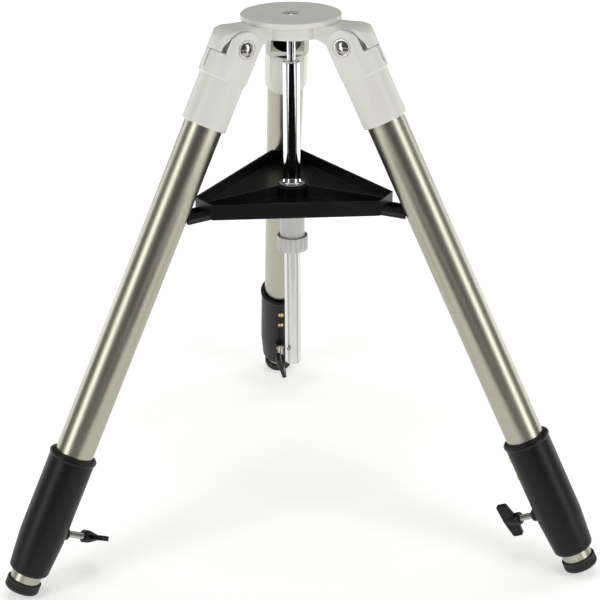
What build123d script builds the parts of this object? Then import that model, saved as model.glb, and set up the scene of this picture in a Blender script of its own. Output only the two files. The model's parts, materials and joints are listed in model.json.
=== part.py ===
from build123d import *
import os
from math import cos, hypot, radians, sin, sqrt, tan

os.makedirs("parts", exist_ok=True)

# A three-legged telescope field tripod with telescopic tube legs, a centre shaft and a tray.
# Origin: centre of the head's top face. +Z up. Millimetres. Legs a, b, c stand at the azimuths below.
# "Down the leg" distances start at the hinge pin and run along the leg's own axis.

# ------------------------------------------------------------------ whole tripod
leg_azimuths = {"a": 210.0, "b": 330.0, "c": 90.0}
leg_tilt = 27.246            # leg axis from the vertical, legs spread
hinge_r = 74.6               # hinge pin from the centre line
hinge_z = -27.0              # hinge pin from the top face

# ------------------------------------------------------------------ clearances
press_gap = 0.02             # parts pressed or glued together
running_gap = 0.05           # radial play of a turning or sliding fit
side_gap = 0.2               # side play beside a turning part
seat_gap = 0.1               # faces that only meet when clamped

# ------------------------------------------------------------------ head casting
plate_d = 114.8
plate_t = 6.5
plate_edge = 0.9
hub_d = 84.0
hub_depth = 23.0             # hub's underside below the top face
stud_recess_d = 20.5
stud_recess_depth = 17.0
arm_width = 37.6
arm_bend = 26.0
roof_wall = 6.5
hood_wall = 5.0
hood_end = 13.0              # hood's lower edge, down the leg
knuckle_d = 25.0
arm_root_r = 20.0

# ------------------------------------------------------------------ leg castings
block_wall = 6.375           # round outer side of the clevis, beyond the tube
cheek_out = 25.7             # cheek's outer face from the leg's middle plane
cheek_flat = 17.0            # flat side facing the centre line
cheek_r = 19.2               # round end about the hinge pin
slot_half = 19.9
slot_floor = 33.0
shoulder = 13.5              # spread stop, just under the hood's edge
shoulder_wall = 5.0
slit_width = 1.7
collar_wall = 3.775
collar_start = 41.0
casting_length = 95.0
tube_seat = 39.0
seat_hole_d = 33.0
spot_d = 20.4
spot_depth = 1.2

# ------------------------------------------------------------------ hinge hardware
bolt_d = 10.0
bolt_head_d = 16.6
bolt_head_t = 4.2
bolt_socket_af = 6.0
bolt_socket_depth = 2.6
nut_af = 17.0
nut_t = 6.0
washer_d = 19.6
washer_t = 1.1
bush_d = 14.0
bush_flange_d = 18.0
bush_flange_t = 0.8

# ------------------------------------------------------------------ leg tubes
upper_od = 44.45
upper_wall = 1.2
upper_length = 549.0
lower_od = 35.5
lower_wall = 1.2
lower_start = 82.0           # top of the pushed-in lower tube, down the leg
collar_screw_d = 5.0
collar_screw_at = 86.0       # down the leg
slide_bush_t = 24.0
guide_bush_t = 30.0

# ------------------------------------------------------------------ clamp shoe at the bottom of the upper tube
shoe_length = 152.0
shoe_below_tube = 64.0
shoe_wall = 4.575
shoe_lip = 1.3               # rolled lip beyond the shoe's side
mouth_wall = 6.05            # shoe's mouth beyond the lower tube
shoe_bottom_round = 6.0
shoe_taper = 46.0            # length of the tapered foot of the shoe
lower_play = 0.3             # lower tube inside the shoe's mouth
tube_screw_d = 4.0
tube_screw_head_d = 7.6
tube_screw_head_t = 4.0
tube_screw_at = (24.0, 48.0)  # below the shoe's top rim
tube_screw_reach = 0.825     # tip of the screw beyond the tube's inside

# ------------------------------------------------------------------ clamp knob
knob_below_tube = 12.0
boss_d = 15.0
boss_rise = 5.2              # boss face beyond the shoe's side
insert_d = 11.0
insert_length = 11.4
knob_screw_d = 8.0
pad_d = 9.4
pad_t = 1.7
knob_gap = 17.0              # knob's near face beyond the boss, screw pressed home
knob_hub_d = 15.0
knob_hub_length = 8.0
knob_length = 23.5
wing_span = 49.0
wing_t = 6.0
wing_start = 9.0             # tips of the wings from the knob's near face
wing_tip = 12.8
knob_turns = {"a": 66.0, "b": -14.0, "c": 12.0}   # wing direction about the screw, from the leg axis
knob_backed_off = {"a": 5.0, "b": 0.0, "c": 0.0}  # how far each screw is unscrewed

# ------------------------------------------------------------------ foot
foot_below_shoe = 11.0
foot_d = 40.4
foot_length = 13.0
foot_sole = 5.0
foot_round = 3.5
foot_grooves = (4.3, 7.3)
plug_length = 26.0

# ------------------------------------------------------------------ centre shaft
stud_d = 9.525               # 3/8 inch
stud_top = -1.5
stud_into_bar = 30.0
clip_d = 17.0
clip_t = 1.0
sleeve_d = 20.0
sleeve_wall = 2.0
sleeve_top = -55.0
sleeve_bottom = -201.0
flare_d = 28.0
flare_t = 6.0
bar_d = 20.0
bar_bottom = -438.0
flute_count = 6
flute_start = 56.5
flute_w = 3.2
flute_depth = 1.7
stop_screw_z = -416.0
stop_screw_d = 4.6

# ------------------------------------------------------------------ tray and its hub
tray_bottom = -218.4
tray_height = 18.0
tray_wall = 2.4
tray_floor = 2.6
corner_r = 121.3             # cut corner walls from the centre line
corner_half = 18.9           # half width of a cut corner
rib_t = 3.2
rib_drop = 1.0
tray_hub_d = 40.0
tray_hub_drop = 2.6          # tray hub's top below the tray's rim
ear_half = 16.6
ear_lip_height = 6.0
ear_lip_t = 2.2
ear_wrap = 3.2               # how far an ear reaches round the tube
ear_gap = 0.8
hub_body_d = 29.6
hub_body_end = -277.0
hub_collar_d = 39.0
hub_collar_end = -242.0
serrations = 36
snap_ring_t = 1.0
snap_ring_d = 34.0
ring_d = 37.2
ring_wall = 2.3
ring_top = -268.0
ring_bottom = -286.0
ring_floor = 6.0
ring_grips = 18

# ------------------------------------------------------------------ places worked out from the sizes
tilt = radians(leg_tilt)
tube_end = tube_seat + upper_length
shoe_bottom = tube_end + shoe_below_tube
shoe_top = shoe_bottom - shoe_length
knob_at = tube_end + knob_below_tube
foot_top = shoe_bottom + foot_below_shoe
foot_bottom = foot_top + foot_length
lower_end = foot_bottom - foot_sole
tray_rim = tray_bottom + tray_height
block_r = upper_od / 2 + block_wall
collar_r = upper_od / 2 + collar_wall
shoe_r = upper_od / 2 + shoe_wall
shoe_lip_r = shoe_r + shoe_lip
shoe_bottom_r = lower_od / 2 + mouth_wall
tube_screw_end = upper_od / 2 - upper_wall - tube_screw_reach   # from the leg axis, as the next two
boss_out = shoe_r + boss_rise
knob_start = boss_out + knob_gap


def leg_frame(azimuth):
    """Plane on the hinge pin: +Z down the leg, +X outwards across it, +Y along the pin."""
    a = radians(azimuth)
    pin = Vector(hinge_r * cos(a), hinge_r * sin(a), hinge_z)
    down = Vector(sin(tilt) * cos(a), sin(tilt) * sin(a), -cos(tilt))
    out = Vector(cos(tilt) * cos(a), cos(tilt) * sin(a), sin(tilt))
    return Plane(origin=pin, x_dir=out, z_dir=down)


def side_of(leg):
    """The leg's middle plane: +X down the leg, +Y outwards."""
    return Plane(origin=leg.origin, x_dir=leg.z_dir, z_dir=leg.y_dir)


def pin_of(leg):
    """Plane square to the hinge pin's direction, so that +Z runs along the pin."""
    return Plane(origin=leg.origin, x_dir=leg.x_dir, z_dir=leg.y_dir)


def radial_plane(azimuth):
    """Upright plane through the centre line: +X outwards, +Y up."""
    a = radians(azimuth)
    return Plane(origin=(0, 0, 0), x_dir=(cos(a), sin(a), 0), z_dir=(sin(a), -cos(a), 0))


def inward_plane(leg, distance):
    """Plane on the leg axis at a distance down the leg, +Z pointing in at the centre line, +X down the leg."""
    return Plane(origin=leg.origin + leg.z_dir * distance, x_dir=leg.z_dir, z_dir=leg.x_dir * -1)


def from_pin(down, out):
    """Radius and height of a point given down the leg and outwards across it, in a leg's middle plane."""
    return (hinge_r + out * cos(tilt) + down * sin(tilt), hinge_z + out * sin(tilt) - down * cos(tilt))


def tube_inner_r(z):
    """Distance from the centre line to the near side of a spread leg's upper tube at height z."""
    return hinge_r + (hinge_z - z) * tan(tilt) - upper_od / 2 / cos(tilt)


def keep(piece, label):
    """Label a finished piece and write it."""
    piece.part.label = label
    export_step(piece.part, f"parts/{label}.step")


def tube(plane, start, end, outer_d, wall):
    """A plain tube along the plane's normal."""
    with BuildPart() as piece:
        with BuildSketch(plane.offset(start)):
            Circle(outer_d / 2)
            Circle(outer_d / 2 - wall, mode=Mode.SUBTRACT)
        extrude(amount=end - start)
    return piece


# ================================================================== head
def make_arm(azimuth):
    """One cast arm: a roof out to the leg, a hood bent down over it and a knuckle round the hinge pin."""
    leg = leg_frame(azimuth)
    roof = -plate_t
    outer_down = (hinge_z + block_r * sin(tilt) - roof) / cos(tilt)
    inner_out = block_r - hood_wall
    inner_down = (hinge_z + inner_out * sin(tilt) - roof + roof_wall) / cos(tilt)
    with BuildPart() as arm:
        with BuildSketch(radial_plane(azimuth)):
            with BuildLine():
                FilletPolyline(
                    (arm_root_r, roof),
                    from_pin(outer_down, block_r),
                    from_pin(hood_end, block_r),
                    radius=arm_bend,
                )
                Polyline(from_pin(hood_end, block_r), from_pin(hood_end, inner_out))
                FilletPolyline(
                    from_pin(hood_end, inner_out),
                    from_pin(inner_down, inner_out),
                    (arm_root_r, roof - roof_wall),
                    radius=arm_bend - hood_wall,
                )
                Line((arm_root_r, roof - roof_wall), (arm_root_r, roof))
            make_face()
            with Locations((hinge_r, hinge_z)):
                Circle(knuckle_d / 2)
            with BuildLine():
                Polyline(
                    (arm_root_r, roof - 1),
                    (hinge_r, roof - 1),
                    (hinge_r, hinge_z - knuckle_d / 2),
                    (hub_d / 2, -hub_depth),
                    (arm_root_r, -hub_depth),
                    close=True,
                )
            make_face()
        extrude(amount=arm_width / 2, both=True)
        # The outer face is round, flush with the leg casting under it.
        with BuildSketch(leg.offset(-3 * block_r)):
            with Locations((2 * block_r, 0)):
                Rectangle(3.6 * block_r, 4 * block_r)
            Circle(block_r, mode=Mode.SUBTRACT)
        extrude(amount=5 * block_r, mode=Mode.SUBTRACT)
        with BuildSketch(pin_of(leg)):
            Circle(bolt_d / 2 + running_gap)
        extrude(amount=arm_width, both=True, mode=Mode.SUBTRACT)
    return arm


arms = [make_arm(azimuth) for azimuth in leg_azimuths.values()]

with BuildPart() as tripod_head:
    with BuildSketch(Plane.XY.offset(-plate_t)):
        Circle(plate_d / 2)
    extrude(amount=plate_t)
    chamfer(tripod_head.edges().filter_by(GeomType.CIRCLE), length=plate_edge)
    with BuildSketch(Plane.XY.offset(-hub_depth)):
        Circle(hub_d / 2)
    extrude(amount=hub_depth - plate_t / 2)
    for arm in arms:
        add(arm.part)
    with BuildSketch(Plane.XY.offset(-stud_recess_depth)):
        Circle(stud_recess_d / 2)
    extrude(amount=stud_recess_depth, mode=Mode.SUBTRACT)
    with BuildSketch(Plane.XY.offset(-hub_depth)):
        Circle(stud_d / 2 + running_gap)
    extrude(amount=hub_depth, mode=Mode.SUBTRACT)
keep(tripod_head, "tripod_head")

# ================================================================== hinge hardware
bolt_ends = {"a": -1, "b": 1, "c": 1}    # which end of the pin carries the bolt's head
seat_out = cheek_out - spot_depth        # bottom of the spot face
washer_in = seat_out + seat_gap
washer_out = washer_in + washer_t


def bolt_plane(name):
    """Plane on the hinge pin with +Z towards the bolt's head."""
    leg = leg_frame(leg_azimuths[name])
    return Plane(origin=leg.origin, x_dir=leg.x_dir, z_dir=leg.y_dir * bolt_ends[name])


with BuildPart() as hinge_bolts:
    for name in leg_azimuths:
        head = bolt_plane(name)
        with BuildSketch(head.offset(-washer_out - nut_t - 1)):
            Circle(bolt_d / 2)
        extrude(amount=2 * washer_out + nut_t + 1)
        with BuildSketch(Plane(origin=head.origin, x_dir=head.z_dir, z_dir=head.x_dir)):
            with BuildLine():
                Line((washer_out, 0), (washer_out, bolt_head_d / 2))
                Line((washer_out, bolt_head_d / 2), (washer_out + 1, bolt_head_d / 2))
                ThreePointArc(
                    (washer_out + 1, bolt_head_d / 2),
                    (washer_out + 0.78 * bolt_head_t, 0.56 * bolt_head_d / 2),
                    (washer_out + bolt_head_t, 0),
                )
                Line((washer_out + bolt_head_t, 0), (washer_out, 0))
            make_face()
        revolve(axis=Axis(head.origin, head.z_dir))
        with BuildSketch(head.offset(washer_out + bolt_head_t - bolt_socket_depth)):
            RegularPolygon(bolt_socket_af / 2, 6, major_radius=False)
        extrude(amount=bolt_head_t, mode=Mode.SUBTRACT)
keep(hinge_bolts, "hinge_bolts")

with BuildPart() as hinge_nuts:
    for name in leg_azimuths:
        head = bolt_plane(name)
        with BuildSketch(head.offset(-washer_out - nut_t)):
            RegularPolygon(nut_af / 2, 6, major_radius=False)
            Circle(bolt_d / 2 + press_gap, mode=Mode.SUBTRACT)
        extrude(amount=nut_t)
keep(hinge_nuts, "hinge_nuts")

with BuildPart() as hinge_washers:
    for name in leg_azimuths:
        head = bolt_plane(name)
        for start in (washer_in, -washer_out):
            with BuildSketch(head.offset(start)):
                Circle(washer_d / 2)
                Circle(bolt_d / 2 + press_gap, mode=Mode.SUBTRACT)
            extrude(amount=washer_t)
keep(hinge_washers, "hinge_washers")


# ================================================================== legs
def make_hinge_bushes(leg):
    """The two flanged bushes in a casting's cheeks, which turn on the bolt."""
    pin = pin_of(leg)
    with BuildPart() as bushes:
        for side in (1, -1):
            with BuildSketch(pin.offset(side * slot_half)):
                Circle(bush_d / 2)
                Circle(bolt_d / 2 + running_gap, mode=Mode.SUBTRACT)
            extrude(amount=side * (seat_out - slot_half))
            with BuildSketch(pin.offset(side * (slot_half - bush_flange_t))):
                Circle(bush_flange_d / 2)
                Circle(bolt_d / 2 + running_gap, mode=Mode.SUBTRACT)
            extrude(amount=side * bush_flange_t)
    return bushes


def make_casting(leg):
    """The leg's top casting: a clevis over the head's arm, and a collar round the upper tube."""
    side = side_of(leg)
    pin = pin_of(leg)
    axis = Axis(leg.origin, leg.z_dir)
    reach = hypot(cheek_flat, cheek_out) + 1
    with BuildPart() as casting:
        with BuildSketch(leg.offset(-cheek_r)):
            Circle(block_r)
            with Locations((-block_r, 0)):
                Rectangle(2 * block_r, 4 * block_r, mode=Mode.SUBTRACT)
            with Locations((-cheek_flat / 2, 0)):
                Rectangle(cheek_flat, 2 * cheek_out)
            Rectangle(4 * block_r, 2 * cheek_out, mode=Mode.INTERSECT)
        extrude(amount=cheek_r + collar_start)
        # The block narrows to the collar by a cone.
        with BuildSketch(side):
            with BuildLine():
                Polyline(
                    (-cheek_r, 0),
                    (-cheek_r, reach),
                    (slot_floor, reach),
                    (collar_start, collar_r),
                    (collar_start, 0),
                    close=True,
                )
            make_face()
        revolve(axis=axis, mode=Mode.INTERSECT)
        # The cheeks end in a round about the hinge pin.
        with BuildSketch(side):
            Circle(cheek_r)
            with Locations(((shoulder + collar_start) / 2, 0)):
                Rectangle(collar_start - shoulder, 2 * reach)
            make_hull()
        extrude(amount=reach, both=True, mode=Mode.INTERSECT)
        with BuildSketch(leg.offset(collar_start - 2)):
            Circle(collar_r)
        extrude(amount=casting_length - collar_start + 2)
        chamfer(casting.edges().filter_by(GeomType.CIRCLE).sort_by(axis)[-1], length=1.2)
        with BuildSketch(leg.offset(tube_seat)):
            Circle(upper_od / 2 + press_gap)
        extrude(amount=casting_length, mode=Mode.SUBTRACT)
        with BuildSketch(leg.offset(slot_floor - 1)):
            Circle(seat_hole_d / 2)
        extrude(amount=tube_seat - slot_floor + 2, mode=Mode.SUBTRACT)
        # The slot for the arm is open outwards down to the shoulder, the spread stop.
        with BuildSketch(leg.offset(-cheek_r - 1)):
            Rectangle(4 * block_r, 2 * slot_half)
        extrude(amount=shoulder + cheek_r + 1, mode=Mode.SUBTRACT)
        # Below the shoulder a round wall closes it outwards.
        with BuildSketch(leg.offset(shoulder)):
            Circle(block_r - shoulder_wall)
            with Locations((-block_r, 0)):
                Rectangle(2 * block_r, 2 * slot_half)
            Rectangle(4 * block_r, 2 * slot_half, mode=Mode.INTERSECT)
        extrude(amount=slot_floor - shoulder, mode=Mode.SUBTRACT)
        with BuildSketch(side):
            with Locations(((shoulder + slot_floor) / 2, block_r)):
                Rectangle(slot_floor - shoulder, 4 * shoulder_wall)
        extrude(amount=slit_width / 2, both=True, mode=Mode.SUBTRACT)
        with BuildSketch(pin):
            Circle(bush_d / 2 + press_gap)
        extrude(amount=2 * cheek_out, both=True, mode=Mode.SUBTRACT)
        for end in (1, -1):
            with BuildSketch(pin.offset(end * seat_out)):
                Circle(spot_d / 2)
            extrude(amount=end * 2 * spot_depth, mode=Mode.SUBTRACT)
        with BuildSketch(inward_plane(leg, collar_screw_at)):
            Circle(collar_screw_d / 2 + press_gap)
        extrude(amount=2 * collar_r, mode=Mode.SUBTRACT)
    return casting


def make_collar_screw(leg):
    """Grub screw through the collar into the upper tube."""
    with BuildPart() as screw:
        with BuildSketch(inward_plane(leg, collar_screw_at).offset(upper_od / 2 - upper_wall)):
            Circle(collar_screw_d / 2)
        extrude(amount=collar_r - upper_od / 2 + upper_wall - 0.4)
        with BuildSketch(inward_plane(leg, collar_screw_at).offset(collar_r - 2)):
            RegularPolygon(1.25, 6, major_radius=False)
        extrude(amount=3, mode=Mode.SUBTRACT)
    return screw


def make_upper_tube(leg):
    """Upper leg tube, drilled for its collar screw and the shoe's two screws."""
    holes = [(collar_screw_at, collar_screw_d)]
    holes += [(shoe_top + s, tube_screw_d) for s in tube_screw_at]
    with BuildPart() as piece:
        with BuildSketch(leg.offset(tube_seat)):
            Circle(upper_od / 2)
            Circle(upper_od / 2 - upper_wall, mode=Mode.SUBTRACT)
        extrude(amount=tube_end - tube_seat)
        for place, hole_d in holes:
            with BuildSketch(inward_plane(leg, place).offset(upper_od / 4)):
                Circle(hole_d / 2 + press_gap)
            extrude(amount=upper_od / 2, mode=Mode.SUBTRACT)
    return piece


def make_shoe(leg):
    """Moulded clamp shoe: a sleeve round the upper tube's end that closes in on the lower tube."""
    side = side_of(leg)
    knob = inward_plane(leg, knob_at)
    bore = upper_od / 2 + press_gap
    mouth = lower_od / 2 + lower_play
    taper_start = shoe_bottom - shoe_taper
    with BuildPart() as shoe:
        with BuildSketch(side):
            with BuildLine():
                Line((shoe_top + 2.5, bore), (shoe_top, bore + 1.6))
                Line((shoe_top, bore + 1.6), (shoe_top, bore + 3.2))
                ThreePointArc((shoe_top, bore + 3.2), (shoe_top + 2.6, shoe_lip_r), (shoe_top + 6.5, shoe_r))
                Polyline(
                    (shoe_top + 6.5, shoe_r),
                    (taper_start, shoe_r),
                    (shoe_bottom - shoe_bottom_round, shoe_bottom_r),
                )
                ThreePointArc(
                    (shoe_bottom - shoe_bottom_round, shoe_bottom_r),
                    (shoe_bottom - 1.6, shoe_bottom_r - 1.5),
                    (shoe_bottom, shoe_bottom_r - 3.6),
                )
                Polyline(
                    (shoe_bottom, shoe_bottom_r - 3.6),
                    (shoe_bottom, mouth),
                    (tube_end + seat_gap, mouth),
                    (tube_end + seat_gap, bore),
                    (shoe_top + 2.5, bore),
                )
            make_face()
        revolve(axis=Axis(leg.origin, leg.z_dir))
        with BuildSketch(knob.offset(mouth + 2)):
            Circle(boss_d / 2)
        extrude(amount=boss_out - mouth - 2)
        with BuildSketch(knob):
            Circle(insert_d / 2 + press_gap)
        extrude(amount=2 * boss_out, mode=Mode.SUBTRACT)
        for s in tube_screw_at:
            with BuildSketch(inward_plane(leg, shoe_top + s)):
                Circle(tube_screw_d / 2 + press_gap)
            extrude(amount=2 * shoe_r, mode=Mode.SUBTRACT)
    return shoe


def make_tube_screws(leg):
    """The two round-headed screws that hold the shoe on the upper tube."""
    with BuildPart() as screws:
        for s in tube_screw_at:
            screw = inward_plane(leg, shoe_top + s)
            with BuildSketch(screw.offset(tube_screw_end)):
                Circle(tube_screw_d / 2)
            extrude(amount=shoe_r + 1 - tube_screw_end)
            with BuildSketch(screw.offset(shoe_r + press_gap)):
                Circle(tube_screw_head_d / 2)
            head = extrude(amount=tube_screw_head_t)
            top = head.faces().sort_by(Axis(leg.origin, leg.x_dir))[0]
            fillet(top.edges(), radius=1.4)
            with BuildSketch(screw.offset(shoe_r + tube_screw_head_t - 1)):
                Rectangle(4.0, 0.9)
                Rectangle(0.9, 4.0)
            extrude(amount=2, mode=Mode.SUBTRACT)
    return screws


def make_insert(leg):
    """Threaded brass insert in the shoe's boss."""
    with BuildPart() as insert:
        with BuildSketch(inward_plane(leg, knob_at).offset(boss_out - insert_length - 0.3)):
            Circle(insert_d / 2)
            Circle(knob_screw_d / 2 + running_gap, mode=Mode.SUBTRACT)
        extrude(amount=insert_length)
    return insert


def make_pad(leg):
    """Nylon pad between the clamp screw and the lower tube."""
    with BuildPart() as pad:
        with BuildSketch(inward_plane(leg, knob_at).offset(lower_od / 2 + 0.3)):
            Circle(pad_d / 2)
        extrude(amount=pad_t)
    return pad


def make_knob_screw(leg, backed_off):
    """Threaded stud moulded into the wing knob."""
    start = lower_od / 2 + 0.3 + pad_t + seat_gap + backed_off
    end = knob_start + knob_hub_length + 4 + backed_off
    with BuildPart() as screw:
        with BuildSketch(inward_plane(leg, knob_at).offset(start)):
            Circle(knob_screw_d / 2)
        extrude(amount=end - start)
    return screw


def make_knob(leg, turn, backed_off):
    """Wing knob: a round hub that tapers to its end, and two flat wings that lean back to that end."""
    still = inward_plane(leg, knob_at)
    across = still.x_dir * cos(radians(turn)) + still.y_dir * sin(radians(turn))
    base = Plane(origin=still.origin + still.z_dir * (knob_start + backed_off), x_dir=across, z_dir=still.z_dir)
    wings = Plane(origin=base.origin, x_dir=base.z_dir, z_dir=base.y_dir * -1)
    with BuildPart() as knob:
        with BuildSketch(wings):
            with BuildLine():
                Polyline(
                    (0, 0),
                    (0, knob_hub_d / 2),
                    (knob_hub_length, knob_hub_d / 2),
                    (knob_length - 1, wing_t / 2),
                    (knob_length - 1, 0),
                    close=True,
                )
            make_face()
        revolve(axis=Axis(base.origin, base.z_dir))
        with BuildSketch(wings):
            with BuildLine():
                Polyline(
                    (knob_hub_length - 2, 0),
                    (knob_hub_length - 2, knob_hub_d / 2 - 1),
                    (wing_start, wing_span / 2),
                    (wing_start + wing_tip, wing_span / 2),
                    (knob_length, 0),
                    close=True,
                )
            face = make_face()
            mirror(face, about=Plane.XZ)
        extrude(amount=wing_t / 2, both=True)
        with BuildSketch(base.offset(-1)):
            Circle(knob_screw_d / 2 + press_gap)
        extrude(amount=knob_hub_length + 5 + press_gap, mode=Mode.SUBTRACT)
    return knob


def make_guide_bush(leg):
    """Nylon bush in the upper tube's mouth that guides the lower tube."""
    inner = lower_od / 2 + running_gap
    wall = upper_od / 2 - upper_wall - press_gap - inner
    return tube(leg, tube_end - guide_bush_t, tube_end, 2 * (inner + wall), wall)


def make_slide_bush(leg):
    """Nylon bush on the lower tube's top that slides in the upper tube."""
    outer = upper_od / 2 - upper_wall - running_gap
    wall = outer - lower_od / 2 - press_gap
    return tube(leg, lower_start, lower_start + slide_bush_t, 2 * outer, wall)


def make_plug(leg):
    """Plastic plug that closes the lower tube's end and holds the foot."""
    with BuildPart() as plug:
        with BuildSketch(leg.offset(lower_end - plug_length)):
            Circle(lower_od / 2 - lower_wall - press_gap)
        extrude(amount=plug_length)
        with BuildSketch(leg.offset(lower_end - plug_length)):
            Circle(lower_od / 2 - lower_wall - 3)
        extrude(amount=plug_length - 5, mode=Mode.SUBTRACT)
    return plug


def make_foot(leg):
    """Rubber foot: a thick cup over the tube's end with a rounded sole and two grooves."""
    side = side_of(leg)
    axis = Axis(leg.origin, leg.z_dir)
    with BuildPart() as foot:
        with BuildSketch(leg.offset(foot_top)):
            Circle(foot_d / 2)
        extrude(amount=foot_length)
        fillet(foot.edges().sort_by(axis)[-1], radius=foot_round)
        chamfer(foot.edges().sort_by(axis)[0], length=0.8)
        with BuildSketch(leg.offset(foot_top)):
            Circle(lower_od / 2 + press_gap)
        extrude(amount=lower_end - foot_top + press_gap, mode=Mode.SUBTRACT)
        for groove in foot_grooves:
            with BuildSketch(side):
                with Locations((foot_top + groove, foot_d / 2)):
                    Rectangle(1.2, 1.6)
            revolve(axis=axis, mode=Mode.SUBTRACT)
    return foot


for name, azimuth in leg_azimuths.items():
    leg = leg_frame(azimuth)
    keep(make_casting(leg), f"leg_casting_{name}")
    keep(make_hinge_bushes(leg), f"hinge_bushes_{name}")
    keep(make_collar_screw(leg), f"collar_screw_{name}")
    keep(make_upper_tube(leg), f"upper_tube_{name}")
    keep(make_guide_bush(leg), f"guide_bush_{name}")
    keep(make_shoe(leg), f"clamp_shoe_{name}")
    keep(make_tube_screws(leg), f"shoe_screws_{name}")
    keep(make_insert(leg), f"knob_insert_{name}")
    keep(make_pad(leg), f"clamp_pad_{name}")
    keep(make_knob_screw(leg, knob_backed_off[name]), f"knob_screw_{name}")
    keep(make_knob(leg, knob_turns[name], knob_backed_off[name]), f"wing_knob_{name}")
    keep(tube(leg, lower_start, lower_end, lower_od, lower_wall), f"lower_tube_{name}")
    keep(make_slide_bush(leg), f"slide_bush_{name}")
    keep(make_plug(leg), f"foot_plug_{name}")
    keep(make_foot(leg), f"rubber_foot_{name}")

# ================================================================== centre shaft
clip_bottom = -stud_recess_depth + seat_gap
stud_end = sleeve_bottom - stud_into_bar

with BuildPart() as shaft_stud:
    with BuildSketch(Plane.XY.offset(stud_end)):
        Circle(stud_d / 2)
    extrude(amount=stud_top - stud_end)
    chamfer(shaft_stud.edges().sort_by(Axis.Z)[-1], length=0.8)
    with BuildSketch(Plane.XY.offset(clip_bottom)):
        Circle(stud_d / 2)
        Circle(stud_d / 2 - 0.8, mode=Mode.SUBTRACT)
    extrude(amount=clip_t, mode=Mode.SUBTRACT)
keep(shaft_stud, "shaft_stud")

with BuildPart() as retaining_clip:
    with BuildSketch(Plane.XY.offset(clip_bottom + 0.02)):
        Circle(clip_d / 2)
        Circle(stud_d / 2 - 0.8 + running_gap, mode=Mode.SUBTRACT)
        with Locations((clip_d / 4, 0)):
            Rectangle(clip_d / 2, stud_d / 2, mode=Mode.SUBTRACT)
    extrude(amount=clip_t - 0.04)
keep(retaining_clip, "retaining_clip")

with BuildPart() as shaft_sleeve:
    with BuildSketch(Plane.XZ):
        with BuildLine():
            Polyline(
                (stud_d / 2 + press_gap, sleeve_top),
                (sleeve_d / 2 - 1, sleeve_top),
                (sleeve_d / 2, sleeve_top - 1),
                (sleeve_d / 2, sleeve_bottom + flare_t),
            )
            ThreePointArc(
                (sleeve_d / 2, sleeve_bottom + flare_t),
                (sleeve_d / 2 + 1.2, sleeve_bottom + 2.6),
                (flare_d / 2, sleeve_bottom + 1),
            )
            Polyline(
                (flare_d / 2, sleeve_bottom + 1),
                (flare_d / 2, sleeve_bottom),
                (stud_d / 2 + press_gap, sleeve_bottom),
                (stud_d / 2 + press_gap, sleeve_bottom + 4),
                (sleeve_d / 2 - sleeve_wall, sleeve_bottom + 4),
                (sleeve_d / 2 - sleeve_wall, sleeve_top - 4),
                (stud_d / 2 + press_gap, sleeve_top - 4),
                (stud_d / 2 + press_gap, sleeve_top),
            )
        make_face()
    revolve(axis=Axis.Z)
keep(shaft_sleeve, "shaft_sleeve")

with BuildPart() as fluted_bar:
    with BuildSketch(Plane.XY.offset(bar_bottom)):
        Circle(bar_d / 2)
        with PolarLocations(bar_d / 2, flute_count, start_angle=flute_start):
            Rectangle(2 * flute_depth, flute_w, mode=Mode.SUBTRACT)
    extrude(amount=sleeve_bottom - seat_gap - bar_bottom)
    with BuildSketch(Plane.XY.offset(stud_end - 1)):
        Circle(stud_d / 2 + press_gap)
    extrude(amount=stud_into_bar + 2, mode=Mode.SUBTRACT)
    with BuildSketch(Plane.XZ):
        with BuildLine():
            Polyline(
                (bar_d / 2 - 1.6, bar_bottom),
                (bar_d / 2 + 1, bar_bottom),
                (bar_d / 2 + 1, bar_bottom + 2.6),
                close=True,
            )
        make_face()
    revolve(axis=Axis.Z, mode=Mode.SUBTRACT)
    screw_plane = Plane(
        origin=(0, 0, stop_screw_z),
        x_dir=(0, 0, 1),
        z_dir=(cos(radians(flute_start + 180)), sin(radians(flute_start + 180)), 0),
    )
    with BuildSketch(screw_plane.offset(bar_d / 2 - flute_depth - 6)):
        Circle(stop_screw_d / 4 + press_gap)
    extrude(amount=8, mode=Mode.SUBTRACT)
keep(fluted_bar, "fluted_bar")

with BuildPart() as stop_screw:
    with BuildSketch(screw_plane.offset(bar_d / 2 - flute_depth - 5.5)):
        Circle(stop_screw_d / 4)
    extrude(amount=6)
    with BuildSketch(screw_plane.offset(bar_d / 2 + 0.1)):
        Circle(stop_screw_d / 2)
    extrude(amount=1.8)
    with BuildSketch(screw_plane.offset(bar_d / 2 - flute_depth - 0.5)):
        Circle(stop_screw_d / 4)
    extrude(amount=flute_depth + 0.8)
    with BuildSketch(screw_plane.offset(bar_d / 2 + 1.2)):
        Rectangle(3.0, 0.7)
        Rectangle(0.7, 3.0)
    extrude(amount=2, mode=Mode.SUBTRACT)
keep(stop_screw, "stop_screw")


# ================================================================== tray and its hub
def tray_outline(inset):
    """The tray's plan: a triangle with cut corners, its cut corners facing the legs."""
    points = []
    for azimuth in leg_azimuths.values():
        a = radians(azimuth)
        half = corner_half - inset * (1 / cos(radians(30)) - tan(radians(30)))
        reach = corner_r - inset
        for side in (-1, 1):
            points.append((reach * cos(a) - side * half * sin(a), reach * sin(a) + side * half * cos(a)))
    return points


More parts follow.
